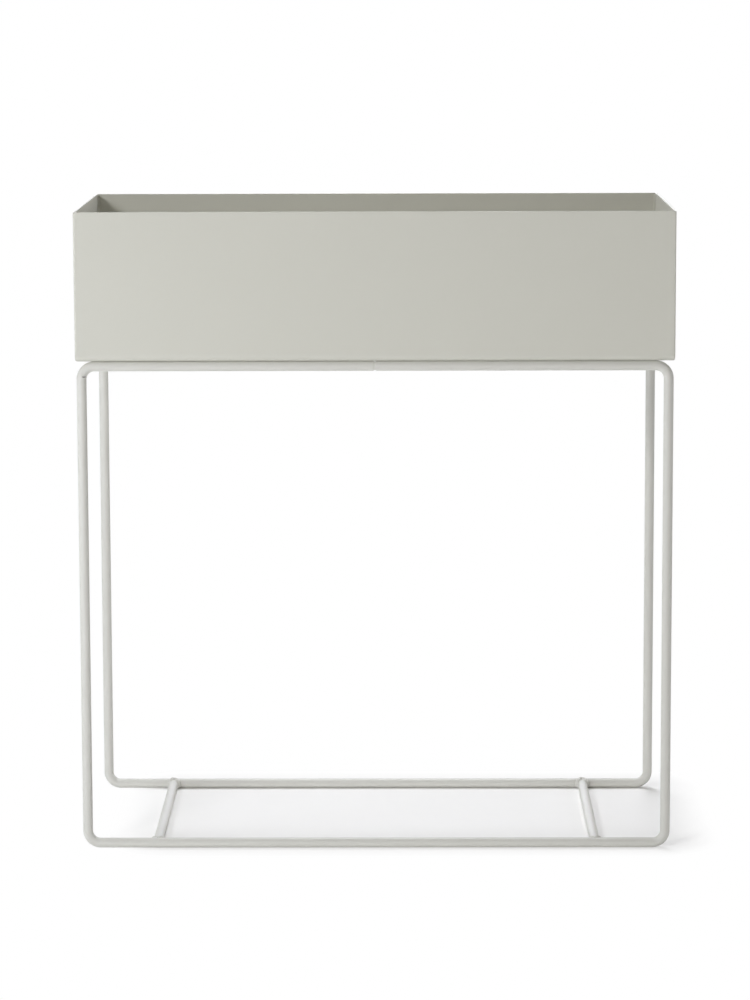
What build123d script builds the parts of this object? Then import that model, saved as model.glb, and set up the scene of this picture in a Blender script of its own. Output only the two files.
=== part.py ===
"""Raised planter: a folded and welded sheet-steel box on a stand of bent round bar.

Millimetres, +Z up, X along the box, the front at -Y. The origin is on the floor, under the middle of the box.
"""

import os
from math import sqrt

from build123d import *

# Overall sizes
box_width = 600.0
box_depth = 250.0
box_height = 150.0
stand_height = 500.0

# Sheet of the box
sheet = 2.0
floor_bend_inside = 4.0
rim_round = 0.5
edge_bevel = 1.2
corner_weld_leg = 1.5

# Round bar of the stand
bar_diameter = 10.0
bend_radius = 15.0
side_inset = 1.0
front_inset = 1.0
cross_bar_inset = 77.0
fit_up_gap = 0.2

# Weld that closes each hoop in the middle of its top rail
butt_gap = 3.0
butt_dip = 0.5

# Weld beads round the ends of the lower cross bars
bead_leg = 3.0
bead_crown = 1.1
bead_setback = 0.9
bead_floor_clearance = 1.0

# Flat straps under the box and their welds
strap_width = 25.0
strap_thickness = 4.0
strap_inset = 77.0
strap_bead_radius = 2.8
strap_bead_inset = 2.0

# Studs under the floor, with flanged nuts
stud_diameter = 6.0
stud_length = 14.0
stud_inset = 55.0
strap_hole_clearance = 0.5
nut_across_flats = 10.0
nut_height = 6.0
nut_flange_diameter = 14.2
nut_flange_thickness = 1.2
nut_thread_clearance = 0.05

# Places that follow from the sizes above
floor_bend_outside = floor_bend_inside + sheet
bar_radius = bar_diameter / 2
rail_reach = box_width / 2 - side_inset - bar_radius
rail_y = box_depth / 2 - front_inset - bar_radius
rail_low_z = bar_radius
rail_high_z = stand_height - bar_radius
cross_bar_x = box_width / 2 - cross_bar_inset
strap_x = box_width / 2 - strap_inset
strap_reach = rail_y - bar_radius - fit_up_gap
strap_low_z = stand_height - strap_thickness
stud_y = box_depth / 2 - stud_inset
nut_low_z = strap_low_z - nut_height


def trough_face(width, height, radius):
    """Upright section of the trough, with its lower corners rounded and its top at the given height."""
    outline = Polyline((-width / 2, height), (-width / 2, 0), (width / 2, 0), (width / 2, height), close=True)
    face = make_face(outline)
    return fillet(face.vertices().group_by(Axis.Y)[0], radius)


def box_wrap():
    """Front wall, floor and rear wall, folded from one sheet that ends at the end plates."""
    length = box_width - 2 * sheet
    outside = trough_face(box_depth, box_height, floor_bend_outside)
    inside = trough_face(box_depth - 2 * sheet, box_height - sheet, floor_bend_inside)
    section = outside - Pos(0, sheet) * inside
    wrap = extrude(Plane.YZ.offset(-length / 2) * section, length)
    wrap = Pos(0, 0, stand_height) * wrap
    rim_edges = wrap.edges().filter_by(Axis.X).group_by(Axis.Z)[-1]
    return fillet(rim_edges, rim_round)


def end_plate(side):
    """End of the box, cut to the outline of the fold, with its outer edges ground off after welding."""
    face = trough_face(box_depth, box_height, floor_bend_outside)
    plate = extrude(Plane.YZ.offset(box_width / 2 - sheet) * face, sheet)
    plate = Pos(0, 0, stand_height) * plate
    outer_edges = plate.faces().sort_by(Axis.X)[-1].edges()
    top_edge = outer_edges.sort_by(Axis.Z)[-1]
    plate = chamfer(outer_edges - ShapeList([top_edge]), edge_bevel)
    outer_top = plate.faces().sort_by(Axis.Z)[-1].edges().filter_by(Axis.Y).sort_by(Axis.X)[-1]
    plate = fillet(outer_top, rim_round)
    return plate if side > 0 else mirror(plate, about=Plane.YZ)


def corner_weld(side_x, side_y):
    """Hollow bead in one upright inside corner, from the floor bend to just under the rim."""
    length = box_height - floor_bend_outside - rim_round
    square = Rectangle(corner_weld_leg, corner_weld_leg, align=(Align.MIN, Align.MIN))
    hollow = Pos(corner_weld_leg, corner_weld_leg) * Circle(corner_weld_leg)
    bead = extrude(square - hollow, length)
    bead = bead if side_x < 0 else mirror(bead, about=Plane.YZ)
    bead = bead if side_y < 0 else mirror(bead, about=Plane.XZ)
    corner = Pos(
        side_x * (box_width / 2 - sheet),
        side_y * (box_depth / 2 - sheet),
        stand_height + floor_bend_outside,
    )
    return corner * bead


def rail(side_y, height):
    """Straight bar along the whole width at one rail, used to shape what is welded to it."""
    return Pos(0, side_y * rail_y, height) * Cylinder(bar_radius, box_width, rotation=(0, 90, 0))


def hoop(side_y):
    """Bar bent into a rectangle, with its two ends facing each other in the middle of the top rail."""
    y = side_y * rail_y
    path = FilletPolyline(
        (butt_gap / 2, y, rail_high_z),
        (rail_reach, y, rail_high_z),
        (rail_reach, y, rail_low_z),
        (-rail_reach, y, rail_low_z),
        (-rail_reach, y, rail_high_z),
        (-butt_gap / 2, y, rail_high_z),
        radius=bend_radius,
    )
    section = Plane(origin=path @ 0, z_dir=path % 0) * Circle(bar_radius)
    return sweep(section, path=path)


def butt_weld(side_y):
    """Weld metal between the two ends of a hoop, a little below the bar's surface."""
    weld = Cylinder(bar_radius - butt_dip, butt_gap, rotation=(0, 90, 0))
    return Pos(0, side_y * rail_y, rail_high_z) * weld


def lower_cross_bar(side_x):
    """Bar between the two bottom rails, with each end coped to sit against its rail."""
    bar = Cylinder(bar_radius, 2 * rail_y, rotation=(90, 0, 0))
    bar = Pos(side_x * cross_bar_x, 0, rail_low_z) * bar
    for side_y in (-1, 1):
        cope = Cylinder(bar_radius + fit_up_gap, box_width, rotation=(0, 90, 0))
        bar -= Pos(0, side_y * rail_y, rail_low_z) * cope
    return bar


def lower_bar_weld(side_x, side_y):
    """Bead over the top and down both sides of a coped joint, kept off the floor."""
    shift = bead_crown + bead_setback
    outline_radius = sqrt((bar_radius + bead_leg) ** 2 + (bar_radius - shift) ** 2)
    crown = Cylinder(bar_radius + bead_crown, 2 * outline_radius, rotation=(0, 90, 0))
    outline = Cylinder(outline_radius, 2 * bar_diameter)
    joint_x = side_x * cross_bar_x
    bead = Pos(joint_x, side_y * (rail_y - shift), rail_low_z) * (crown & outline)
    bead -= rail(side_y, rail_low_z)
    bead -= Pos(joint_x, 0, rail_low_z) * Cylinder(bar_radius, 2 * rail_y, rotation=(90, 0, 0))
    below = Box(box_width, box_depth, bar_diameter, align=(Align.CENTER, Align.CENTER, Align.MAX))
    return bead - Pos(joint_x, 0, bead_floor_clearance) * below


def upper_cross_strap(side_x):
    """Flat bar cut square, level with the tops of the top rails, with holes that clear the studs."""
    strap = Box(strap_width, 2 * strap_reach, strap_thickness, align=(Align.CENTER, Align.CENTER, Align.MIN))
    strap = Pos(side_x * strap_x, 0, strap_low_z) * strap
    for place in stud_places(side_x):
        hole = Cylinder(stud_diameter / 2 + strap_hole_clearance, 4 * strap_thickness)
        strap -= Pos(place.X, place.Y, stand_height) * hole
    return strap


def upper_strap_weld(side_x, side_y):
    """Bead under one end of a strap, in the corner between the strap and its rail."""
    bead = Cylinder(strap_bead_radius, strap_width - 2 * strap_bead_inset, rotation=(0, 90, 0))
    bead = Pos(side_x * strap_x, side_y * strap_reach, strap_low_z) * bead
    bead -= rail(side_y, rail_high_z)
    above = Box(box_width, box_depth, stand_height, align=(Align.CENTER, Align.CENTER, Align.MIN))
    return bead - Pos(side_x * strap_x, 0, strap_low_z) * above


def stud_places(side_x):
    """The two places under the floor where studs stand on one side of the box."""
    return [Vector(side_x * strap_x, side_y * stud_y, stand_height) for side_y in (-1, 1)]


def floor_stud(place):
    """Weld stud standing down from the underside of the floor."""
    down = (Align.CENTER, Align.CENTER, Align.MAX)
    return Pos(place) * Cylinder(stud_diameter / 2, stud_length, align=down)


def stud_nut(place):
    """Hexagon nut with a flange that spans the strap's hole."""
    up = (Align.CENTER, Align.CENTER, Align.MIN)
    nut = extrude(RegularPolygon(nut_across_flats / sqrt(3), 6), nut_height)
    flange = Cylinder(nut_flange_diameter / 2, nut_flange_thickness, align=up)
    nut += Pos(0, 0, nut_height - nut_flange_thickness) * flange
    nut -= Cylinder(stud_diameter / 2 + nut_thread_clearance, nut_height, align=up)
    return Pos(place.X, place.Y, nut_low_z) * nut


def all_nodes():
    """Every node of the planter by name."""
    sides = {"left": -1, "right": 1}
    banks = {"front": -1, "rear": 1}
    nodes = {"box_wrap": box_wrap()}
    for bank, side_y in banks.items():
        nodes[f"{bank}_hoop"] = hoop(side_y)
        nodes[f"{bank}_hoop_butt_weld"] = butt_weld(side_y)
    for side, side_x in sides.items():
        nodes[f"end_plate_{side}"] = end_plate(side_x)
        nodes[f"lower_cross_bar_{side}"] = lower_cross_bar(side_x)
        nodes[f"upper_cross_strap_{side}"] = upper_cross_strap(side_x)
        for bank, side_y in banks.items():
            nodes[f"corner_weld_{bank}_{side}"] = corner_weld(side_x, side_y)
            nodes[f"lower_bar_weld_{bank}_{side}"] = lower_bar_weld(side_x, side_y)
            nodes[f"upper_strap_weld_{bank}_{side}"] = upper_strap_weld(side_x, side_y)
    places = [place for side_x in sides.values() for place in stud_places(side_x)]
    nodes["floor_studs"] = Compound([floor_stud(place) for place in places])
    nodes["stud_nuts"] = Compound([stud_nut(place) for place in places])
    return nodes


def main():
    """Write one STEP file for each node."""
    os.makedirs("parts", exist_ok=True)
    for name, shape in all_nodes().items():
        export_step(shape, f"parts/{name}.step")


if __name__ == "__main__":
    main()
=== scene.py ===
"""Raised planter: a folded sheet-steel box on a stand of bent round bar, dressed for a studio picture.

Metres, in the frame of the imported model: +Z up, X along the box, the front at -Y.
"""

from __future__ import annotations

import logging
import math
import random
from collections.abc import Callable, Iterable, Iterator, Mapping, Sequence
from contextlib import contextmanager
from dataclasses import dataclass, field, replace
from enum import Enum
from typing import ClassVar

import bmesh
import bpy
from mathutils import Matrix, Vector


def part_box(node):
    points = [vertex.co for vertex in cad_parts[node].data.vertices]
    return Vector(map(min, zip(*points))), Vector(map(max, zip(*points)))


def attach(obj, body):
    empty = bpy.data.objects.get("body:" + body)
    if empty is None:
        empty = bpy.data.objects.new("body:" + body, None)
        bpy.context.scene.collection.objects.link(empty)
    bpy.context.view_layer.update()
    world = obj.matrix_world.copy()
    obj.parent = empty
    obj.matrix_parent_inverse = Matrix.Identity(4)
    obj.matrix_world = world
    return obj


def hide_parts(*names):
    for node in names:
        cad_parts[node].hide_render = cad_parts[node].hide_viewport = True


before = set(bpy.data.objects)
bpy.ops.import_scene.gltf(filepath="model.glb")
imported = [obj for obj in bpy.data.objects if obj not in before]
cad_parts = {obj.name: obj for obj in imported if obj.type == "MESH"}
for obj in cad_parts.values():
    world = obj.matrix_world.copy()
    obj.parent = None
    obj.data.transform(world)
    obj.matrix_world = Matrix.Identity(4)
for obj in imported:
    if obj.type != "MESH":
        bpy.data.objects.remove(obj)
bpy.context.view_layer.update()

LOG = logging.getLogger("planter")
BODY = "root"
HALF_TURN = math.pi
QUARTER_TURN = math.pi / 2
TOUCH = 1e-6
SEED_PLANE = 0.001
NOISE_MEAN = 0.5
WHITE = (1.0, 1.0, 1.0, 1.0)
X_AXIS = Vector((1.0, 0.0, 0.0))
Y_AXIS = Vector((0.0, 1.0, 0.0))
Z_AXIS = Vector((0.0, 0.0, 1.0))
Piece = bpy.types.Object
Triple = tuple[float, float, float]


class Slot(Enum):
    """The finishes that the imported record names."""

    BOX = "box_coat"
    STAND = "stand_coat"
    WELD = "weld_coat"
    ZINC = "zinc_plate"


class Side(Enum):
    """The two ends of the box, by the sign of X."""

    LEFT = -1
    RIGHT = 1


class Bank(Enum):
    """The front and rear of the stand, by the sign of Y."""

    FRONT = -1
    REAR = 1


@dataclass(frozen=True)
class Placing:
    """Where a copy of a piece made at the origin goes, and how far it is turned about Z."""

    at: Vector
    turn: float = 0.0


class Corner(Enum):
    """The four corners of the planter, each at one side of one bank."""

    FRONT_LEFT = (Side.LEFT, Bank.FRONT)
    FRONT_RIGHT = (Side.RIGHT, Bank.FRONT)
    REAR_RIGHT = (Side.RIGHT, Bank.REAR)
    REAR_LEFT = (Side.LEFT, Bank.REAR)

    def node(self, kind: str) -> str:
        """Name of what is of one kind at this corner."""
        return f"{kind}_{self.name.lower()}"

    def placing(self, x: float, y: float, turn: float) -> Placing:
        """Take a piece to this corner, at distances from the middle along X and Y, with a turn about Z."""
        side, bank = self.value
        return Placing(Vector((side.value * x, bank.value * y, 0.0)), turn)

    @property
    def facing(self) -> float:
        """Turn that keeps a piece made for the front rail facing inwards."""
        return HALF_TURN if self.value[1] is Bank.REAR else 0.0

    @property
    def quarter(self) -> float:
        """Turn that keeps a piece made for the inside of the front left corner inside this one."""
        return QUARTER_TURN * list(Corner).index(self)


class Element(Enum):
    """What a selection picks in edit mode."""

    POINT = "VERT"
    EDGE = "EDGE"
    FACE = "FACE"


@dataclass(frozen=True)
class Extent:
    """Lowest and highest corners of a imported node."""

    low: Vector
    high: Vector

    @classmethod
    def of(cls, node: str) -> Extent:
        """Read one node's corners from the frame."""
        low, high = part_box(node)
        return cls(low.copy(), high.copy())

    @property
    def size(self) -> Vector:
        """Width, depth and height."""
        return self.high - self.low

    @property
    def centre(self) -> Vector:
        """Middle of the box."""
        return (self.low + self.high) / 2


class Bench:
    """Modelling steps that several pieces share, each a thin layer over Blender's operators."""

    @staticmethod
    def take(*pieces: Piece) -> None:
        """Select only these objects.

        Args:
            pieces: The objects, of which the first becomes the active one.
        """
        bpy.ops.object.select_all(action="DESELECT")
        for piece in pieces:
            piece.select_set(True)
        bpy.context.view_layer.objects.active = pieces[0]

    @staticmethod
    def settle() -> Piece:
        """Move the new object's place, turn and scale into its mesh and return it."""
        bpy.ops.object.transform_apply(location=True, rotation=True, scale=True)
        return bpy.context.active_object

    @staticmethod
    def primitive(
        operator: Callable[..., set[str]], scale: Iterable[float] = (1.0, 1.0, 1.0), **settings: object
    ) -> Piece:
        """Deselect everything and add a primitive, with its place, turn and scale in its mesh.

        Args:
            operator: The operator that adds it.
            scale: How far it is stretched along its own X, Y and Z.
            settings: What the operator takes.

        Returns:
            The new object, which alone is selected.
        """
        bpy.ops.object.select_all(action="DESELECT")
        operator(**settings)
        bpy.context.active_object.scale = scale
        return Bench.settle()

    @staticmethod
    def block(low: Vector, high: Vector) -> Piece:
        """Add a box between its lowest and its highest corner."""
        middle = (low + high) / 2
        return Bench.primitive(bpy.ops.mesh.primitive_cube_add, high - low, size=1.0, location=middle)

    @staticmethod
    def drum(centre: Vector, radius: float, height: float, steps: int) -> Piece:
        """Add an upright cylinder, with its radius through the corners of its sides."""
        sizes = {"vertices": steps, "radius": radius, "depth": height}
        return Bench.primitive(bpy.ops.mesh.primitive_cylinder_add, location=centre, **sizes)

    @staticmethod
    def line(points: Iterable[Vector]) -> Piece:
        """Draw a run of edges by extruding one point.

        Args:
            points: Corners of the run, in order.

        Returns:
            The new object, left in object mode.
        """
        first, *others = points
        run = Bench.primitive(bpy.ops.mesh.primitive_plane_add, size=SEED_PLANE, location=first)
        with Bench.editing(run):
            bpy.ops.mesh.merge(type="CENTER")
            for last, point in zip((first, *others), others):
                Bench.sweep(point - last)
        return run

    @staticmethod
    @contextmanager
    def editing(piece: Piece) -> Iterator[None]:
        """Edit mode on one object, with all of it selected.

        Args:
            piece: The object to edit.
        """
        Bench.take(piece)
        bpy.ops.object.mode_set(mode="EDIT")
        bpy.ops.mesh.select_mode(type=Element.POINT.value)
        bpy.ops.mesh.select_all(action="SELECT")
        yield
        bpy.ops.object.mode_set(mode="OBJECT")

    @staticmethod
    def select(
        piece: Piece,
        element: Element,
        test: Callable[[Vector], bool],
        unless: Callable[[Vector, Vector], bool] | None = None,
    ) -> None:
        """Select in edit mode the elements whose every corner passes a test.

        Args:
            piece: The object in edit mode.
            element: What to select.
            test: Says whether a corner at that place belongs.
            unless: Says whether an edge between two places is left out all the same.
        """
        bpy.ops.mesh.select_all(action="DESELECT")
        bpy.ops.mesh.select_mode(type=element.value)
        shape = bmesh.from_edit_mesh(piece.data)
        items = {Element.POINT: shape.verts, Element.EDGE: shape.edges, Element.FACE: shape.faces}[element]
        for item in items:
            corners = [item.co] if element is Element.POINT else [corner.co for corner in item.verts]
            if all(map(test, corners)) and not (unless and unless(*corners)):
                item.select_set(True)
        shape.select_flush_mode()
        bmesh.update_edit_mesh(piece.data)

    @staticmethod
    def bevel(offset: float, segments: int) -> None:
        """Round the edges that are selected in edit mode."""
        bpy.ops.mesh.bevel(offset=offset, segments=segments, affect="EDGES")

    @staticmethod
    def sweep(offset: Vector) -> None:
        """Extrude what is selected in edit mode along a straight line."""
        bpy.ops.mesh.extrude_region_move(TRANSFORM_OT_translate={"value": offset})

    @staticmethod
    def lathe(run: Piece, axis_point: Vector, axis: Vector, steps: int) -> Piece:
        """Turn a run of edges once round an axis and close it.

        Args:
            run: The run of edges.
            axis_point: A point on the axis.
            axis: Direction of the axis.
            steps: Number of steps in the turn.

        Returns:
            The same object, now a closed solid.
        """
        with Bench.editing(run):
            bpy.ops.mesh.spin(steps=steps, angle=2 * HALF_TURN, center=axis_point, axis=axis)
            Bench.close()
        return run

    @staticmethod
    def merge() -> None:
        """Merge the doubles of the mesh in edit mode."""
        bpy.ops.mesh.select_all(action="SELECT")
        bpy.ops.mesh.remove_doubles(threshold=TOUCH)

    @staticmethod
    def face_out() -> None:
        """Turn the faces of the mesh in edit mode outwards."""
        bpy.ops.mesh.select_all(action="SELECT")
        bpy.ops.mesh.normals_make_consistent(inside=False)

    @staticmethod
    def close() -> None:
        """Merge doubles, fill open ends and turn the faces of the mesh in edit mode outwards."""
        Bench.merge()
        bpy.ops.mesh.fill_holes(sides=0)
        Bench.face_out()

    @staticmethod
    def cut(point: Vector, normal: Vector) -> None:
        """Cut the mesh in edit mode at a plane, drop what lies on its normal's side and close the cut."""
        bpy.ops.mesh.select_all(action="SELECT")
        bpy.ops.mesh.bisect(plane_co=point, plane_no=normal, use_fill=True, clear_outer=True, threshold=TOUCH)

    @staticmethod
    def apply(piece: Piece, kind: str, **settings: object) -> None:
        """Add one modifier and apply it.

        Args:
            piece: The object to change.
            kind: The modifier's type.
            settings: The modifier's properties.
        """
        Bench.take(piece)
        modifier = piece.modifiers.new(kind.lower(), kind)
        for name, value in settings.items():
            setattr(modifier, name, value)
        bpy.ops.object.modifier_apply(modifier=modifier.name)

    @staticmethod
    def carve(piece: Piece, tool: Piece, operation: str) -> None:
        """Combine a piece with a tool by a boolean operation and throw the tool away."""
        Bench.apply(piece, "BOOLEAN", object=tool, operation=operation, solver="EXACT")
        bpy.data.objects.remove(tool)

    @staticmethod
    def join(pieces: list[Piece]) -> Piece:
        """Make several objects one.

        Args:
            pieces: The objects, of which the first takes in the others.

        Returns:
            The joined object.
        """
        Bench.take(*pieces)
        bpy.ops.object.join()
        return pieces[0]

    @staticmethod
    def spread(piece: Piece, places: Sequence[Placing]) -> list[Piece]:
        """Copy a piece made at the origin to several places, each copy with its own mesh.

        Args:
            piece: The piece to copy, which becomes the first of the copies.
            places: Where the copies go.

        Returns:
            The copies, in the order of their places.
        """
        copies = [piece]
        while len(copies) < len(places):
            Bench.take(piece)
            bpy.ops.object.duplicate(linked=False)
            copies.append(bpy.context.active_object)
        for copy, place in zip(copies, places):
            Bench.take(copy)
            copy.location = place.at
            copy.rotation_euler.z = place.turn
            Bench.settle()
        return copies

    @staticmethod
    def smooth(piece: Piece, degrees: float = 35.0) -> Piece:
        """Shade round faces smooth and keep flat ones flat up to their edges.

        Args:
            piece: The object to shade.
            degrees: Edges sharper than this stay sharp.

        Returns:
            The same object.
        """
        Bench.take(piece)
        bpy.ops.object.shade_smooth_by_angle(angle=math.radians(degrees))
        Bench.apply(piece, "WEIGHTED_NORMAL", keep_sharp=True)
        return piece


@dataclass(frozen=True, eq=False)
class Shade:
    """An output socket in a node tree, whose maths is written as plain expressions."""

    nodes: FinishNodes
    socket: bpy.types.NodeSocket | None

    def maths(self, operation: str, left: Shade | float, right: Shade | float) -> Shade:
        """Add a Math node on two values."""
        return self.nodes.add("ShaderNodeMath", {"operation": operation}, {0: left, 1: right})

    def __add__(self, other: Shade | float) -> Shade:
        """Sum."""
        return self.maths("ADD", self, other)

    def __sub__(self, other: Shade | float) -> Shade:
        """Difference."""
        return self.maths("SUBTRACT", self, other)

    def __rsub__(self, other: float) -> Shade:
        """Difference with a number on the left."""
        return self.maths("SUBTRACT", other, self)

    def __mul__(self, other: Shade | float) -> Shade:
        """Product."""
        return self.maths("MULTIPLY", self, other)

    def __or__(self, other: Shade | float) -> Shade:
        """The larger of the two."""
        return self.maths("MAXIMUM", self, other)

    __radd__ = __add__
    __rmul__ = __mul__
    __ror__ = __or__


class FinishNodes:
    """The node tree of one material or of the world."""

    mix_first: ClassVar[int] = 6
    mix_second: ClassVar[int] = 7
    mix_result: ClassVar[int] = 2

    def __init__(self, owner: bpy.types.Material | bpy.types.World) -> None:
        """Start with an empty tree.

        Args:
            owner: The material or world.
        """
        self.owner = owner
        owner.use_nodes = True
        self.tree = owner.node_tree
        self.tree.nodes.clear()

    def add(
        self,
        kind: str,
        settings: Mapping[str, object] | None = None,
        inputs: Mapping[str | int, object] | None = None,
        output: str | int = 0,
    ) -> Shade:
        """Add a node of any type.

        Args:
            kind: The node's type.
            settings: Properties that are set first, such as its operation.
            inputs: Values or links of its input sockets, by name or number.
            output: The output socket that is wanted.

        Returns:
            That output, which is empty for a node that ends its tree.
        """
        node = self.tree.nodes.new(kind)
        for name, value in (settings or {}).items():
            setattr(node, name, value)
        for name, value in (inputs or {}).items():
            if isinstance(value, Shade):
                self.tree.links.new(value.socket, node.inputs[name])
            else:
                node.inputs[name].default_value = value
        return Shade(self, node.outputs[output] if node.outputs else None)

    def noise(self, size: float, detail: float, roughness: float = 0.5) -> Shade:
        """Cloudy pattern in the object's own coordinates.

        Args:
            size: Distance between two clouds, in metres.
            detail: Number of finer layers.
            roughness: Strength of the finer layers.

        Returns:
            The pattern, about 0.5 on average.
        """
        place = self.add("ShaderNodeTexCoord", output="Object")
        sockets = {"Vector": place, "Scale": 1.0 / size, "Detail": detail, "Roughness": roughness}
        return self.add("ShaderNodeTexNoise", {"noise_dimensions": "3D"}, sockets)

    def blend(self, factor: Shade, first: Shade | tuple[float, ...], second: tuple[float, ...]) -> Shade:
        """Mix two colours.

        Args:
            factor: 0 gives the first colour and 1 the second.
            first: Linear RGB, or a colour already in the tree.
            second: Linear RGB.

        Returns:
            The mixed colour.
        """
        start = first if isinstance(first, Shade) else (*first, 1.0)
        sockets = {"Factor": factor, self.mix_first: start, self.mix_second: (*second, 1.0)}
        return self.add("ShaderNodeMix", {"data_type": "RGBA"}, sockets, self.mix_result)

    def vector(self, operation: str, first: Shade, second: object = None, output: str = "Vector") -> Shade:
        """Vector maths on one vector, or on two where the operation takes a second."""
        sockets = {0: first} if second is None else {0: first, 1: second}
        return self.add("ShaderNodeVectorMath", {"operation": operation}, sockets, output)

    def ease(self, value: Shade, start: float, end: float) -> Shade:
        """Go smoothly from 0 where a value is at its start to 1 at its end."""
        sockets = {"Value": value, "From Min": start, "From Max": end}
        return self.add("ShaderNodeMapRange", {"interpolation_type": "SMOOTHSTEP"}, sockets)

    def relief(self, height: Shade) -> Shade:
        """Tilt the normals to a height given in metres."""
        return self.add("ShaderNodeBump", inputs={"Strength": 1.0, "Distance": 1.0, "Height": height})

    def surface(self, shader: Shade) -> None:
        """Send a shader to the output of a material or world."""
        target = "World" if isinstance(self.owner, bpy.types.World) else "Material"
        self.add(f"ShaderNodeOutput{target}", inputs={"Surface": shader})


@dataclass(frozen=True)
class PowderCoat:
    """Satin powder coat, with the faint orange peel, grain and clouding of a sprayed and baked film.

    Colours are linear RGB and sizes are metres.
    """

    name: str
    colour: Triple
    clouding: float = 0.02
    cloud_size: float = 0.09
    cloud_detail: float = 3.0
    speckle: float = 0.04
    speckle_size: float = 0.0004
    speckle_detail: float = 1.0
    peel_size: float = 0.0022
    peel_detail: float = 1.5
    peel_height: float = 0.000007
    grain_height: float = 0.0000015
    roughness: float = 0.37
    roughness_play: float = 0.05
    gloss: float = 0.4
    # The pit fields place and colour the painted shade that darkens the nick's dent.
    pit: Vector | None = None
    pit_half: Triple = (0.0025, 0.0040, 0.0011)
    pit_core: float = 0.4
    pit_shade_colour: Triple = (0.290, 0.285, 0.280)

    def make(self) -> bpy.types.Material:
        """Build the material.

        Returns:
            The material.
        """
        nodes = FinishNodes(bpy.data.materials.new(self.name))
        cloud = nodes.noise(self.cloud_size, self.cloud_detail)
        speckle = nodes.noise(self.speckle_size, self.speckle_detail)
        peel = nodes.noise(self.peel_size, self.peel_detail)
        tone = cloud * self.clouding + speckle * self.speckle
        span = self.clouding + self.speckle
        dark = tuple(channel * (1 - span / 2) for channel in self.colour)
        light = tuple(channel * (1 + span / 2) for channel in self.colour)
        colour = nodes.blend(tone * (1 / span), dark, light)
        # Painted shade: the middle of the die mark's dent is darkened towards the pit colour.
        if self.pit is not None:
            colour = nodes.blend(self.pit_shade(nodes), colour, self.pit_shade_colour)
        sockets = {
            "Base Color": colour,
            "Roughness": self.roughness + (cloud - NOISE_MEAN) * self.roughness_play,
            "Specular IOR Level": self.gloss,
            "Normal": nodes.relief(peel * self.peel_height + speckle * self.grain_height),
        }
        nodes.surface(nodes.add("ShaderNodeBsdfPrincipled", inputs=sockets))
        return nodes.owner

    def pit_shade(self, nodes: FinishNodes) -> Shade:
        """Find where the middle of the dent is painted darker, as painted shade on top of the shade that the
        dent's shape casts.

        Args:
            nodes: The material's tree.

        Returns:
            1 in the pit and 0 away from it.
        """
        place = nodes.add("ShaderNodeTexCoord", output="Object")
        offset = nodes.vector("DIVIDE", nodes.vector("SUBTRACT", place, self.pit), self.pit_half)
        away = nodes.vector("LENGTH", offset, output="Value")
        return nodes.ease(away, 1.0, self.pit_core)


@dataclass(frozen=True)
class ZincPlate:
    """Bright zinc plate on steel fasteners, a little clouded by its passivation."""

    name: str
    colour: Triple = (0.66, 0.67, 0.68)
    clouded: Triple = (0.50, 0.52, 0.55)
    cloud_size: float = 0.004
    cloud_detail: float = 3.0
    cloud_roughness: float = 0.6
    roughness: float = 0.28
    roughness_play: float = 0.25
    grain_size: float = 0.0003
    grain_detail: float = 1.0
    grain_height: float = 0.000003

    def make(self) -> bpy.types.Material:
        """Build the material.

        Returns:
            The material.
        """
        nodes = FinishNodes(bpy.data.materials.new(self.name))
        cloud = nodes.noise(self.cloud_size, self.cloud_detail, self.cloud_roughness)
        grain = nodes.noise(self.grain_size, self.grain_detail)
        sockets = {
            "Base Color": nodes.blend(cloud, self.colour, self.clouded),
            "Metallic": 1.0,
            "Roughness": self.roughness + cloud * self.roughness_play,
            "Normal": nodes.relief(grain * self.grain_height),
        }
        nodes.surface(nodes.add("ShaderNodeBsdfPrincipled", inputs=sockets))
        return nodes.owner


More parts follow.
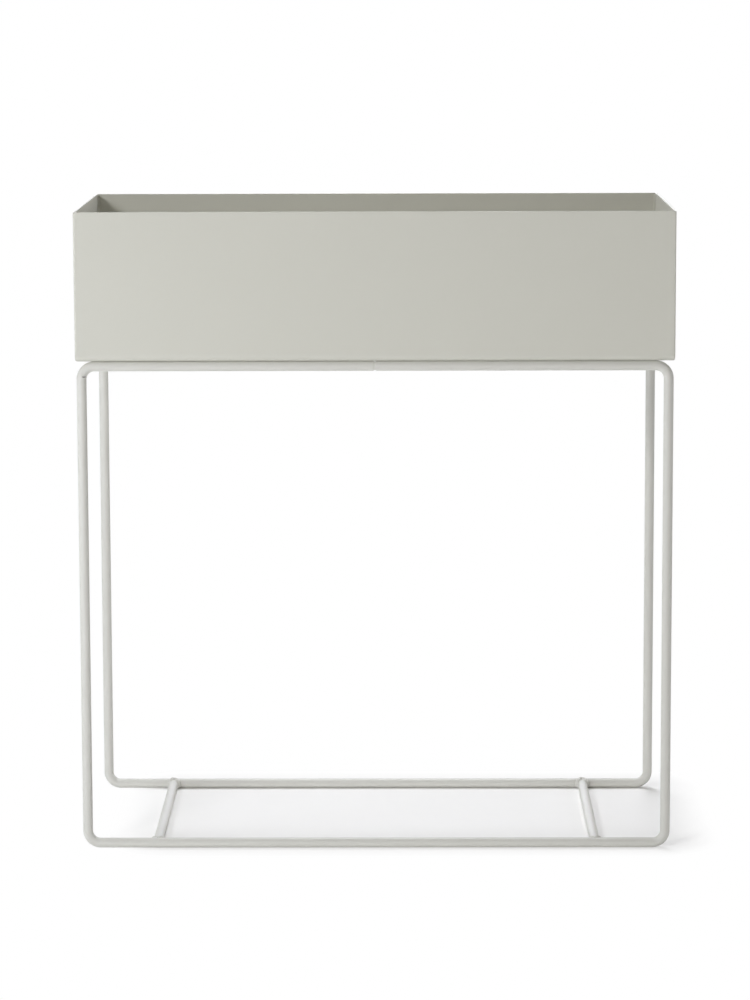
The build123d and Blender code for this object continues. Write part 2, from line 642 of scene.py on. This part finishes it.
class Finishes:
    """The materials of the planter, one for each slot of the record, and the coat of a pitted bar."""

    # The bar coat is the sheet's coat with red and green raised about 5 per cent and blue about 10 per cent.
    # This is painted light: it lifts the rounded bars, and the welds and pitted bar copied from them, to the
    # flat sheet's tone.
    bar_coat_painted_lighter: ClassVar[PowderCoat] = PowderCoat("powder_coat_on_bar", (0.630, 0.625, 0.582), cloud_size=0.05)
    coats: ClassVar[dict[Slot, PowderCoat | ZincPlate]] = {
        Slot.BOX: PowderCoat("powder_coat_on_sheet", (0.597, 0.592, 0.530)),
        Slot.STAND: bar_coat_painted_lighter,
        Slot.WELD: replace(
            bar_coat_painted_lighter, name="powder_coat_on_welds", cloud_size=0.006, clouding=0.06, peel_height=0.000014
        ),
        Slot.ZINC: ZincPlate("bright_zinc_plate"),
    }

    def __init__(self) -> None:
        """Make every material once."""
        self.materials = {slot: coat.make() for slot, coat in self.coats.items()}

    def pitted(self, pit: Vector) -> bpy.types.Material:
        """Make the coat of a bar that has a pit in it, with painted shade in the pit."""
        return replace(self.bar_coat_painted_lighter, name="powder_coat_on_pitted_bar", pit=pit).make()

    def dress(self, piece: Piece, name: str, slot: Slot, *nodes: str) -> None:
        """Name a finished piece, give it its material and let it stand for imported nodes.

        Args:
            piece: The finished piece.
            name: Its name.
            slot: Its finish.
            nodes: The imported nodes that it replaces.
        """
        piece.name = name
        piece.data.name = name
        piece.data.materials.clear()
        piece.data.materials.append(self.materials[slot])
        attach(piece, BODY)
        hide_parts(*nodes)
        LOG.info("%s stands for %s: %d faces", name, ", ".join(nodes), len(piece.data.polygons))

    def dress_beads(self, bead: Piece, kind: str, slot: Slot, places: Sequence[Placing]) -> None:
        """Copy a weld bead made at the origin to its places at the four corners and dress the copies."""
        for copy, corner in zip(Bench.spread(bead, places), Corner):
            self.dress(copy, corner.node(f"{kind}_bead"), slot, corner.node(f"{kind}_weld"))

    def dress_node(self, node: str, slot: Slot) -> None:
        """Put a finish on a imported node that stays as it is.

        Args:
            node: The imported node.
            slot: Its finish.
        """
        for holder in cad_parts[node].material_slots:
            holder.material = self.materials[slot]
        LOG.info("%s keeps its solid: %d faces", node, len(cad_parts[node].data.polygons))


@dataclass
class PlanterBox:
    """Open box: one sheet folded into front, floor and rear, with two end plates welded on and ground.

    The beads inside its corners stop short of their full height by bead_stop times their radius.
    """

    finishes: Finishes
    floor_bend: float = 0.006
    bend_steps: int = 10
    rim_round: float = 0.0005
    rim_steps: int = 4
    end_rim_round: float = 0.0011
    edge_round: float = 0.0018
    edge_steps: int = 6
    bead_radius: float = 0.0017
    bead_root: float = 0.0002
    bead_stop: float = 1.1
    bead_drops: int = 110
    bead_play: float = 0.04
    bead_seed: int = 3
    wall: Extent = field(default_factory=lambda: Extent.of("box_wrap"))
    plate_thickness: float = field(default_factory=lambda: Extent.of("end_plate_left").size.x)

    def build(self) -> None:
        """Make the fold, both end plates and the beads in the upright inside corners."""
        self.finishes.dress(self.fold(), "folded_wall_sheet", Slot.BOX, "box_wrap")
        turns = {"end_plate_right": 0.0, "end_plate_left": HALF_TURN}
        plates = Bench.spread(self.end_plate(), [Placing(Vector(), turn) for turn in turns.values()])
        for plate, node in zip(plates, turns):
            self.finishes.dress(plate, f"{node}_ground", Slot.BOX, node)
        inside = self.wall.high - self.plate_thickness * Y_AXIS
        places = [corner.placing(inside.x, inside.y, corner.quarter) for corner in Corner]
        self.finishes.dress_beads(self.corner_bead(), "corner", Slot.BOX, places)

    def fold(self) -> Piece:
        """Fold the sheet up at front and rear and round its rims.

        Returns:
            The folded sheet.
        """
        low, high = self.wall.low, self.wall.high
        inner = self.floor_bend * Y_AXIS
        middle = Vector((0.0, self.wall.centre.y, low.z))
        flat = self.wall.size - 2 * inner
        sheet = Bench.primitive(bpy.ops.mesh.primitive_plane_add, flat, size=1.0, location=middle)
        rise = (self.wall.size.z - self.floor_bend) * Z_AXIS
        with Bench.editing(sheet):
            for bank in Bank:
                edge_y = (low + inner).y if bank is Bank.FRONT else (high - inner).y
                Bench.select(sheet, Element.EDGE, lambda at, y=edge_y: abs(at.y - y) < TOUCH)
                bpy.ops.mesh.spin(
                    steps=self.bend_steps,
                    angle=-bank.value * QUARTER_TURN,
                    center=(0.0, edge_y, low.z + self.floor_bend),
                    axis=X_AXIS,
                )
                Bench.sweep(rise)
            Bench.merge()
            Bench.face_out()
        down = min(sheet.data.polygons, key=lambda face: face.center.z).normal.z < 0
        Bench.apply(sheet, "SOLIDIFY", thickness=self.plate_thickness, offset=-1.0 if down else 1.0)
        with Bench.editing(sheet):
            Bench.select(sheet, Element.EDGE, lambda at: at.z > high.z - TOUCH, self.crosswise)
            Bench.bevel(self.rim_round, self.rim_steps)
            Bench.face_out()
        return Bench.smooth(sheet)

    @staticmethod
    def crosswise(one: Vector, other: Vector) -> bool:
        """Tell by its two ends an edge that doesn't run along X."""
        return abs(one.x - other.x) < TOUCH

    def end_plate(self) -> Piece:
        """Cut the right end plate to the fold's outline and round the edges that were ground.

        Returns:
            The plate.
        """
        place = Extent.of("end_plate_right")
        low, high = place.low, place.high
        plate = Bench.block(low, high)
        with Bench.editing(plate):
            Bench.select(plate, Element.EDGE, lambda at: at.z < low.z + TOUCH, self.crosswise)
            Bench.bevel(self.floor_bend, self.bend_steps)
            Bench.select(
                plate,
                Element.EDGE,
                lambda at: at.x > high.x - TOUCH,
                lambda one, other: min(one.z, other.z) > high.z - TOUCH,
            )
            Bench.bevel(self.edge_round, self.edge_steps)
            Bench.select(plate, Element.EDGE, lambda at: at.z > high.z - TOUCH and at.x > low.x + TOUCH)
            Bench.bevel(self.end_rim_round, self.edge_steps)
            Bench.close()
        return Bench.smooth(plate)

    def corner_bead(self) -> Piece:
        """Lay the thin bead of an upright inside corner, from the floor bend to just under the rim.

        Returns:
            The bead of the front left corner, on the Z axis.
        """
        place = Extent.of("corner_weld_front_left")
        start = place.low.z * Z_AXIS
        length = place.size.z - self.bead_stop * self.bead_radius
        radii = WeldBead.uneven([self.bead_radius] * self.bead_drops, self.bead_play, self.bead_seed)
        bead = WeldBead(drop_flatness=1.0).straight(start, length * Z_AXIS, radii)
        back = Vector((self.bead_root, self.bead_root, 0.0))
        with Bench.editing(bead):
            for side in (X_AXIS, Y_AXIS):
                Bench.cut(-back, -side)
        return bead


@dataclass
class BarHoops:
    """The two rectangles of bent round bar, each closed by a butt weld in the middle of its top rail.

    The weld's marks and dips are shares of half its gap and of its deepest dip. The reach, margin, spreads
    and ring of the nick are measured in its half sizes.
    """

    finishes: Finishes
    bend_radius: float = 0.013
    bend_steps: int = 48
    ring_steps: int = 64
    smooth_degrees: float = 50.0
    butt_gap: float = 0.003
    butt_dip: float = 0.00055
    butt_marks: tuple[float, ...] = (-1.0, -0.8, -0.4, 0.0, 0.4, 0.8, 1.0)
    butt_dips: tuple[float, ...] = (0.35, 0.60, 0.95, 1.0, 0.92, 0.58, 0.30)
    nick_rise: float = 0.0030
    nick_turn: float = math.radians(33.0)
    nick_half: tuple[float, float] = (0.0022, 0.0010)
    nick_depth: float = 0.0008
    nick_burr: float = 0.0003
    dent_spread: float = 0.6
    burr_ring: float = 1.5
    burr_spread: float = 0.4
    nick_reach: float = 3.0
    nick_margin: float = 3.5
    nick_cuts: int = 3
    nick_passes: int = 20
    nick_easing: float = 0.5
    easing_passes: int = 2
    rail: Extent = field(default_factory=lambda: Extent.of("front_hoop"))

    @property
    def radius(self) -> float:
        """Radius of the bar."""
        return self.rail.size.y / 2

    def build(self) -> None:
        """Make both hoops and their butt welds."""
        places = [Placing(bank.value * abs(self.rail.centre.y) * Y_AXIS) for bank in Bank]
        hoops = Bench.spread(self.bar(), places)
        welds = Bench.spread(self.butt_weld(), places)
        mark = self.nick(hoops[0])
        for bank, hoop, weld in zip(Bank, hoops, welds):
            node = f"{bank.name.lower()}_hoop"
            for piece in (hoop, weld):
                Bench.smooth(piece, self.smooth_degrees)
            self.finishes.dress(hoop, f"{node}_bar", Slot.STAND, node)
            self.finishes.dress(weld, f"{node}_butt_bead", Slot.WELD, f"{node}_butt_weld")
        # The front hoop's coat carries painted shade in the die mark's dent.
        hoops[0].data.materials[0] = self.finishes.pitted(mark)

    def bar(self) -> Piece:
        """Bend one bar, from one end in the middle of the top rail round to the other.

        Returns:
            The hoop, over the X axis.
        """
        reach = self.rail.high.x - self.radius - self.bend_radius
        top = self.rail.high.z - self.radius
        low = self.rail.low.z + self.radius
        drop = top - low - 2 * self.bend_radius
        upper, lower = top - self.bend_radius, low + self.bend_radius
        half_rail = (reach - self.butt_gap / 2) * X_AXIS
        runs = (half_rail, -drop * Z_AXIS, -2 * reach * X_AXIS, drop * Z_AXIS)
        bends = ((reach, upper), (reach, lower), (-reach, lower), (-reach, upper))
        bar = Bench.primitive(
            bpy.ops.mesh.primitive_circle_add,
            vertices=self.ring_steps,
            radius=self.radius,
            location=(self.butt_gap / 2, 0.0, top),
            rotation=(0.0, QUARTER_TURN, 0.0),
        )
        with Bench.editing(bar):
            for run, (bend_x, bend_z) in zip(runs, bends):
                Bench.sweep(run)
                centre = (bend_x, 0.0, bend_z)
                bpy.ops.mesh.spin(steps=self.bend_steps, angle=-QUARTER_TURN, center=centre, axis=Y_AXIS)
            Bench.sweep(half_rail)
            Bench.close()
        return bar

    def nick(self, hoop: Piece) -> Vector:
        """Press the mark of the bending die into the upper left bend, with a low burr round it.

        Args:
            hoop: The front hoop.

        Returns:
            The middle of the mark.
        """
        radius = self.radius
        tilt = math.asin(self.nick_rise / self.bend_radius)
        bend_centre = Vector((self.rail.low.x + radius, self.rail.centre.y, self.rail.high.z - radius))
        bend_centre += self.bend_radius * (X_AXIS - Z_AXIS)
        outward = Vector((-math.cos(tilt), 0.0, math.sin(tilt)))
        along = Vector((math.sin(tilt), 0.0, math.cos(tilt)))
        facing = Vector((math.sin(self.nick_turn), -math.cos(self.nick_turn), 0.0))
        mark = bend_centre + self.bend_radius * outward + radius * facing
        across = along.cross(facing)

        def away(at: Vector) -> float:
            """Measure the distance from the middle of the mark.

            Args:
                at: A place on the bar.

            Returns:
                The distance, 1 at the mark's rim and endless away from this side of the bar.
            """
            offset = at - mark
            beside = math.hypot(offset.dot(across) / self.nick_half[0], offset.dot(along) / self.nick_half[1])
            return beside if offset.length < radius else math.inf

        def height(ring: float) -> float:
            """Height of the burr and of the dent within it at one distance."""
            burr = self.nick_burr * math.exp(-(((ring - self.burr_ring) / self.burr_spread) ** 2))
            return burr - self.nick_depth * math.exp(-((ring / self.dent_spread) ** 2))

        rings = [self.nick_reach * (1 - step / self.nick_passes) for step in range(self.nick_passes)]
        with Bench.editing(hoop):
            Bench.select(hoop, Element.FACE, lambda at: away(at) < self.nick_margin)
            bpy.ops.mesh.subdivide(number_cuts=self.nick_cuts, smoothness=1.0)
            for outer, ring in zip(rings, rings[1:]):
                Bench.select(hoop, Element.POINT, lambda at, ring=ring: away(at) < ring)
                bpy.ops.transform.translate(value=facing * (height(ring) - height(outer)))
            Bench.select(hoop, Element.POINT, lambda at: away(at) < self.nick_reach)
            bpy.ops.mesh.vertices_smooth(factor=self.nick_easing, repeat=self.easing_passes)
        return mark

    def butt_weld(self) -> Piece:
        """Lay the slightly dished weld between the two ends of a hoop.

        Returns:
            The weld, over the origin.
        """
        centre = (self.rail.high.z - self.radius) * Z_AXIS
        half = self.butt_gap / 2
        points = [
            centre + Vector((along * half, 0.0, self.radius - dip * self.butt_dip))
            for along, dip in zip(self.butt_marks, self.butt_dips)
        ]
        return Bench.lathe(Bench.line(points), centre, X_AXIS, self.ring_steps)


@dataclass(frozen=True)
class Drop:
    """One solidified ripple of a weld bead."""

    place: Vector
    along: Vector
    radius: float


@dataclass
class WeldBead:
    """A weld bead laid as a row of overlapping drops and run together."""

    drop_flatness: float = 0.8
    ball_steps: int = 3
    grain: float = 0.00024
    settling: float = 0.5
    settle_passes: int = 8

    @staticmethod
    def uneven(radii: Iterable[float], play: float, seed: int) -> list[float]:
        """Vary the radius of each drop by a share of it, as a welder's hand does."""
        hand = random.Random(seed)
        return [radius * (1 + play * hand.uniform(-1.0, 1.0)) for radius in radii]

    def straight(self, start: Vector, run: Vector, radii: Sequence[float]) -> Piece:
        """Lay a straight bead.

        Args:
            start: Middle of its first drop.
            run: From there to the middle of its last one.
            radii: Radius of each drop.

        Returns:
            The bead.
        """
        along = run.normalized()
        shares = [step / (len(radii) - 1) for step in range(len(radii))]
        return self.lay(Drop(start + run * share, along, radius) for share, radius in zip(shares, radii))

    def lay(self, drops: Iterable[Drop]) -> Piece:
        """Lay the drops and fuse them.

        Args:
            drops: The ripples of the bead, in order.

        Returns:
            The bead.
        """
        balls = [
            Bench.primitive(
                bpy.ops.mesh.primitive_ico_sphere_add,
                (1.0, 1.0, self.drop_flatness),
                subdivisions=self.ball_steps,
                radius=drop.radius,
                location=drop.place,
                rotation=drop.along.to_track_quat("Z", "Y").to_euler(),
            )
            for drop in drops
        ]
        bead = Bench.join(balls)
        Bench.apply(bead, "REMESH", mode="VOXEL", voxel_size=self.grain)
        Bench.apply(bead, "SMOOTH", factor=self.settling, iterations=self.settle_passes)
        bpy.ops.object.shade_smooth()
        return bead


@dataclass
class LowerBars:
    """The two cross bars on the floor and the beads round their ends."""

    finishes: Finishes
    crown: float = 0.0015
    flank: float = 0.0028
    reach_round: float = math.radians(128.0)
    drop_count: int = 21
    floor_clearance: float = 0.0008
    play: float = 0.13
    seed: int = 10

    def build(self) -> None:
        """Dress the bars and lay their four beads."""
        for side in Side:
            self.finishes.dress_node(f"lower_cross_bar_{side.name.lower()}", Slot.STAND)
        bar = Extent.of("lower_cross_bar_right").centre
        rail = Extent.of("rear_hoop")
        places = [corner.placing(bar.x, rail.centre.y, corner.facing) for corner in Corner]
        self.finishes.dress_beads(self.bead(rail), "lower_bar", Slot.WELD, places)

    def bead(self, rail: Extent) -> Piece:
        """Lay one bead along the line where a bar meets the front rail.

        Args:
            rail: Corners of an imported hoop.

        Returns:
            The bead, with the middle of its joint over the origin.
        """
        radius = rail.size.y / 2
        joint = (rail.low.z + radius) * Z_AXIS
        turns = [self.reach_round * (2 * step / (self.drop_count - 1) - 1) for step in range(self.drop_count)]
        sizes = [self.crown + (self.flank - self.crown) * abs(math.sin(turn)) for turn in turns]
        drops = []
        for turn, size in zip(turns, WeldBead.uneven(sizes, self.play, self.seed)):
            place = radius * Vector((math.sin(turn), abs(math.sin(turn)), math.cos(turn)))
            slope = math.copysign(1.0, math.sin(turn)) * math.cos(turn)
            drops.append(Drop(joint + place, Vector((math.cos(turn), slope, -math.sin(turn))), size))
        bead = WeldBead().lay(drops)
        with Bench.editing(bead):
            Bench.cut(self.floor_clearance * Z_AXIS, -Z_AXIS)
        return bead


@dataclass
class UpperStraps:
    """The two flat bars between the top rails and the beads under their ends."""

    finishes: Finishes
    arris: float = 0.0004
    arris_steps: int = 3
    hole_steps: int = 48
    hole_radius: float = 0.0035
    drill_length: float = 0.02
    bead_radius: float = 0.0026
    bead_inset: float = 0.0032
    drop_count: int = 13
    play: float = 0.07
    seed: int = 100
    place: Extent = field(default_factory=lambda: Extent.of("upper_cross_strap_right"))

    def build(self) -> None:
        """Make both straps and lay their four beads."""
        x, y = self.place.centre.x, self.place.high.y
        straps = Bench.spread(self.strap(), [Placing(side.value * x * X_AXIS) for side in Side])
        for strap, side in zip(straps, Side):
            node = f"upper_cross_strap_{side.name.lower()}"
            self.finishes.dress(strap, f"{node}_bar", Slot.STAND, node)
        places = [corner.placing(x, y, corner.facing) for corner in Corner]
        self.finishes.dress_beads(self.bead(), "upper_strap", Slot.WELD, places)

    def strap(self) -> Piece:
        """Break the edges of a flat bar and drill its two holes.

        Returns:
            The strap, along the Y axis.
        """
        middle = self.place.centre.x * X_AXIS
        strap = Bench.block(self.place.low - middle, self.place.high - middle)
        with Bench.editing(strap):
            Bench.bevel(self.arris, self.arris_steps)
        for at in FloorFixings.places(Side.RIGHT):
            centre = Vector((0.0, at.y, self.place.centre.z))
            drill = Bench.drum(centre, self.hole_radius, self.drill_length, self.hole_steps)
            Bench.carve(strap, drill, "DIFFERENCE")
        return Bench.smooth(strap)

    def bead(self) -> Piece:
        """Lay one straight bead in the corner between a strap's underside and its rail.

        Returns:
            The bead, with its middle over the origin.
        """
        span = self.place.size.x - 2 * self.bead_inset
        start = Vector((-span / 2, 0.0, self.place.low.z))
        radii = WeldBead.uneven([self.bead_radius] * self.drop_count, self.play, self.seed)
        return WeldBead().straight(start, span * X_AXIS, radii)


@dataclass
class FloorFixings:
    """Threaded studs under the floor and the flanged nuts that hold the box to the straps.

    The places of the thread's flank and crest are shares of its pitch.
    """

    finishes: Finishes
    stud_radius: ClassVar[float] = 0.003
    pitch: float = 0.001
    crest: float = 0.00298
    root: float = 0.00242
    flank_start: float = 0.25
    crest_start: float = 0.5625
    crest_end: float = 0.6875
    spare_turns: int = 2
    thread_steps: int = 32
    stud_smooth: float = 40.0
    nut_smooth: float = 30.0
    nut_sides: int = 6
    across_flats: float = 0.010
    flange_radius: float = 0.0071
    flange_thickness: float = 0.0012
    nut_height: float = 0.006
    bore: float = 0.0031
    lead: float = 0.0005
    facing_share: float = 0.96
    chamfer: float = math.radians(30.0)
    skirt_height: float = 0.0010
    edge_break: float = 0.0003
    over_cut: float = 0.001

    @classmethod
    def places(cls, side: Side) -> list[Vector]:
        """Middles of the two studs on one side, at the height of their lower ends.

        Args:
            side: Which side of the box.

        Returns:
            The two places.
        """
        inset = Vector((cls.stud_radius, cls.stud_radius, 0.0))
        studs = Extent.of("floor_studs")
        low, high = studs.low + inset, studs.high - inset
        x = high.x if side is Side.RIGHT else low.x
        return [Vector((x, y, low.z)) for y in (low.y, high.y)]

    def build(self) -> None:
        """Make one stud and one nut and repeat both at the four places."""
        places = [place for side in Side for place in self.places(side)]
        studs = Bench.join(Bench.spread(self.stud(), [Placing(place) for place in places]))
        Bench.smooth(studs, self.stud_smooth)
        self.finishes.dress(studs, "threaded_floor_studs", Slot.ZINC, "floor_studs")
        nut_low = Extent.of("stud_nuts").low.z
        nut_places = [Placing(Vector((place.x, place.y, nut_low))) for place in places]
        nuts = Bench.join(Bench.spread(self.nut(), nut_places))
        Bench.smooth(nuts, self.nut_smooth)
        self.finishes.dress(nuts, "flanged_stud_nuts", Slot.ZINC, "stud_nuts")

    def stud(self) -> Piece:
        """Cut a screw thread by winding its profile up a helix, and trim both ends square.

        Returns:
            The stud, with its lower end at the origin.
        """
        length = Extent.of("floor_studs").size.z
        shape = [
            (self.root, 0.0),
            (self.root, self.flank_start),
            (self.crest, self.crest_start),
            (self.crest, self.crest_end),
            (self.root, 1.0),
        ]
        below = -self.spare_turns * self.pitch
        stud = Bench.line([Vector((radius, 0.0, below + rise * self.pitch)) for radius, rise in shape])
        turns = math.ceil(length / self.pitch) + 2 * self.spare_turns
        Bench.apply(
            stud,
            "SCREW",
            axis="Z",
            angle=2 * HALF_TURN,
            screw_offset=self.pitch,
            iterations=turns,
            steps=self.thread_steps,
            render_steps=self.thread_steps,
            use_merge_vertices=True,
            merge_threshold=TOUCH,
        )
        with Bench.editing(stud):
            Bench.merge()
            Bench.cut(length * Z_AXIS, Z_AXIS)
            Bench.cut(Vector(), -Z_AXIS)
            Bench.close()
        return stud

    def nut(self) -> Piece:
        """Chamfer a hexagon, add its flange and bore it.

        Returns:
            The nut, with its lower face at the origin.
        """
        corner = self.across_flats / math.sqrt(3)
        face = self.facing_share * self.across_flats / 2
        top = self.nut_height
        rim = top - self.flange_thickness
        below = -self.over_cut
        above = top + self.over_cut
        hexagon_top = top - self.flange_thickness / 2
        middle = (below + hexagon_top) / 2 * Z_AXIS
        nut = Bench.drum(middle, corner, hexagon_top - below, self.nut_sides)
        wide = corner + self.over_cut
        slope = (wide - face) * math.tan(self.chamfer)
        facing = [(0.0, 0.0), (face, 0.0), (wide, slope), (wide, above), (0.0, above)]
        Bench.carve(nut, self.turned(facing), "INTERSECT")
        foot = rim + self.edge_break / 2
        flange = [
            (0.0, rim - self.skirt_height),
            (face, rim - self.skirt_height),
            (self.flange_radius - self.edge_break, foot),
            (self.flange_radius, foot + self.edge_break),
            (self.flange_radius, top - self.edge_break),
            (self.flange_radius - self.edge_break, top),
            (0.0, top),
        ]
        Bench.carve(nut, self.turned(flange), "UNION")
        mouth = self.bore + self.lead + self.over_cut
        bore = [(0.0, below), (mouth, below), (self.bore, self.lead), (self.bore, above), (0.0, above)]
        Bench.carve(nut, self.turned(bore), "DIFFERENCE")
        with Bench.editing(nut):
            Bench.close()
        return nut

    def turned(self, profile: list[tuple[float, float]]) -> Piece:
        """Turn a profile, given as the radius and height of each corner, on the Z axis."""
        run = Bench.line([Vector((radius, 0.0, height)) for radius, height in profile])
        return Bench.lathe(run, Vector(), Z_AXIS, self.thread_steps)


@dataclass(frozen=True)
class Softbox:
    """A square studio lamp that faces the planter."""

    name: str
    place: Triple
    width: float
    power: float
    aim: Triple = (0.0, 0.0, 0.4)
    tint: Triple = (1.0, 1.0, 1.0)

    def hang(self) -> None:
        """Add the lamp."""
        lamp = bpy.data.lights.new(self.name, "AREA")
        lamp.energy = self.power
        lamp.size = self.width
        lamp.color = self.tint
        holder = bpy.data.objects.new(self.name, lamp)
        holder.location = self.place
        holder.rotation_euler = (Vector(self.aim) - Vector(self.place)).to_track_quat("-Z", "Y").to_euler()
        holder.visible_camera = False
        bpy.context.scene.collection.objects.link(holder)


@dataclass(frozen=True)
class Viewpoint:
    """The photograph's camera: its place, its angles in radians and its focal length in pixels."""

    name: str = "photograph_view"
    place: Triple = (0.0269763, -3.3189141, 0.9027114)
    downward: float = 0.1280
    turned: float = 0.0084
    roll: float = -0.0030
    focal_pixels: float = 3223.4
    image_height: int = 1000
    axis_row: float = 370.0
    sensor: float = 36.0

    def set_up(self) -> None:
        """Add the camera and make it the scene's own."""
        camera = bpy.data.cameras.new(self.name)
        camera.sensor_width = self.sensor
        camera.lens = self.focal_pixels / self.image_height * self.sensor
        camera.shift_y = (self.axis_row - self.image_height / 2) / self.image_height
        holder = bpy.data.objects.new(self.name, camera)
        turn = Matrix.Rotation(self.turned, 3, "Z") @ Matrix.Rotation(QUARTER_TURN - self.downward, 3, "X")
        holder.rotation_euler = (turn @ Matrix.Rotation(self.roll, 3, "Z")).to_euler()
        holder.location = self.place
        bpy.context.scene.collection.objects.link(holder)
        bpy.context.scene.camera = holder


@dataclass
class Studio:
    """White floor, surround, soft lamps and the camera."""

    floor_radius: float = 30.0
    floor_steps: int = 96
    floor_white: Triple = (0.980, 0.977, 0.962)
    floor_grain: float = 0.005
    floor_grain_size: float = 0.02
    floor_grain_detail: float = 2.0
    shadow_centre: Triple = (0.0375, 0.0175, 0.0)
    shadow_core: Triple = (0.2475, 0.105, 1.0)
    shadow_fade: float = 0.07
    ambient: float = 0.11
    ambient_tint: Triple = (1.08, 1.0, 0.88)
    backdrop_top: float = 0.85
    sweep_front: tuple[float, float] = (-2.4, -1.4)
    backdrop_front: tuple[float, float] = (-0.3, 0.3)
    lamps: tuple[Softbox, ...] = (
        Softbox("key_front_left", (-1.295, -2.073, 1.437), 0.45, 20.0),
        Softbox("key_side_left", (-2.01, -0.905, 1.93), 0.45, 5.6, tint=(0.95, 0.99, 1.08)),
        Softbox("low_front_left", (-0.9, -1.3, 0.1), 0.7, 8.9, tint=(0.95, 0.99, 1.08)),
        Softbox("low_front", (0.2, -1.6, 0.08), 0.9, 2.6),
        Softbox("low_front_right", (1.2, -1.6, 0.5), 0.8, 3.2),
        Softbox("low_side_left", (-2.0, 0.0, 0.3), 0.8, 5.0, tint=(0.94, 0.98, 1.09)),
        Softbox("side_right", (2.2, 0.1, 0.95), 0.8, 5.0, tint=(0.95, 0.98, 1.08)),
        Softbox("top_rear", (0.0, 0.9, 1.6), 0.8, 19.0, tint=(0.98, 0.99, 1.04)),
        Softbox("low_rear", (0.0, 2.6, 0.5), 1.4, 8.0, tint=(0.93, 0.98, 1.12)),
    )

    def build(self) -> None:
        """Lay the floor, hang the lamps and set up the camera."""
        bpy.context.scene.view_settings.view_transform = "Standard"
        self.lay_floor()
        self.light_world()
        for lamp in self.lamps:
            lamp.hang()
        Viewpoint().set_up()
        LOG.info("studio: %d lamps", len(self.lamps))

    @staticmethod
    def seen(nodes: FinishNodes, mirrored: Shade) -> Shade:
        """Find how far a surface shows as plain white.

        Args:
            nodes: The tree of that surface.
            mirrored: How far it does so in a reflection or through glass, from 0 to 1.

        Returns:
            1 for the camera, that share for a reflection or glass, and 0 for all other light.
        """
        rays = ("Camera", "Glossy", "Transmission")
        camera, glossy, through = (nodes.add("ShaderNodeLightPath", output=f"Is {ray} Ray") for ray in rays)
        return camera | (glossy | through) * mirrored

    @staticmethod
    def behind(nodes: FinishNodes, place: Shade, edge: tuple[float, float]) -> Shade:
        """Find what lies behind and beside the planter, by where along Y it starts and is full."""
        depth = nodes.add("ShaderNodeSeparateXYZ", inputs={"Vector": place}, output="Y")
        return nodes.ease(depth, *edge)

    def lay_floor(self) -> None:
        """Lay a matt white floor that keeps the planter's shadow and fades to plain white further out."""
        add = bpy.ops.mesh.primitive_circle_add
        floor = Bench.primitive(add, vertices=self.floor_steps, radius=self.floor_radius, fill_type="NGON")
        floor.name = "studio_floor"
        nodes = FinishNodes(bpy.data.materials.new("studio_floor_white"))
        place = nodes.add("ShaderNodeTexCoord", output="Object")
        offset = nodes.vector("ABSOLUTE", nodes.vector("SUBTRACT", place, self.shadow_centre))
        beyond = nodes.vector("MAXIMUM", nodes.vector("SUBTRACT", offset, self.shadow_core), Vector())
        away = nodes.vector("LENGTH", beyond, output="Value")
        far = nodes.ease(away, 0.0, self.shadow_fade)
        grain = nodes.noise(self.floor_grain_size, self.floor_grain_detail)
        tones = [tuple(channel + sign * self.floor_grain for channel in self.floor_white) for sign in (-1, 1)]
        white = nodes.blend(grain, *tones)
        matt = nodes.add("ShaderNodeBsdfDiffuse", inputs={"Color": white})
        plain = nodes.add("ShaderNodeEmission", inputs={"Color": WHITE, "Strength": 1.0})
        factor = self.seen(nodes, self.behind(nodes, place, self.sweep_front)) * far
        upper = nodes.add("ShaderNodeMixShader", inputs={0: factor, 1: matt, 2: plain})
        under = nodes.add("ShaderNodeNewGeometry", output="Backfacing")
        clear = nodes.add("ShaderNodeBsdfTransparent")
        nodes.surface(nodes.add("ShaderNodeMixShader", inputs={0: under, 1: upper, 2: clear}))
        floor.data.materials.append(nodes.owner)

    def light_world(self) -> None:
        """Surround the studio with soft light, plain white where it is seen or mirrored low behind."""
        world = bpy.data.worlds.new("studio_surround")
        bpy.context.scene.world = world
        nodes = FinishNodes(world)
        direction = nodes.add("ShaderNodeTexCoord", output="Generated")
        height = nodes.add("ShaderNodeSeparateXYZ", inputs={"Vector": direction}, output="Z")
        backdrop = nodes.ease(height, self.backdrop_top, 0.0)
        factor = self.seen(nodes, backdrop * self.behind(nodes, direction, self.backdrop_front))
        tint = (*self.ambient_tint, 1.0)
        soft = nodes.add("ShaderNodeBackground", inputs={"Color": tint, "Strength": self.ambient})
        white = nodes.add("ShaderNodeBackground", inputs={"Color": WHITE, "Strength": 1.0})
        nodes.surface(nodes.add("ShaderNodeMixShader", inputs={0: factor, 1: soft, 2: white}))


def main() -> None:
    """Build the planter's sub-assemblies in order, then the studio."""
    logging.basicConfig(level=logging.INFO, format="%(message)s")
    finishes = Finishes()
    for assembly in (PlanterBox, BarHoops, LowerBars, UpperStraps, FloorFixings):
        assembly(finishes).build()
    Studio().build()


if __name__ == "__main__":
    main()
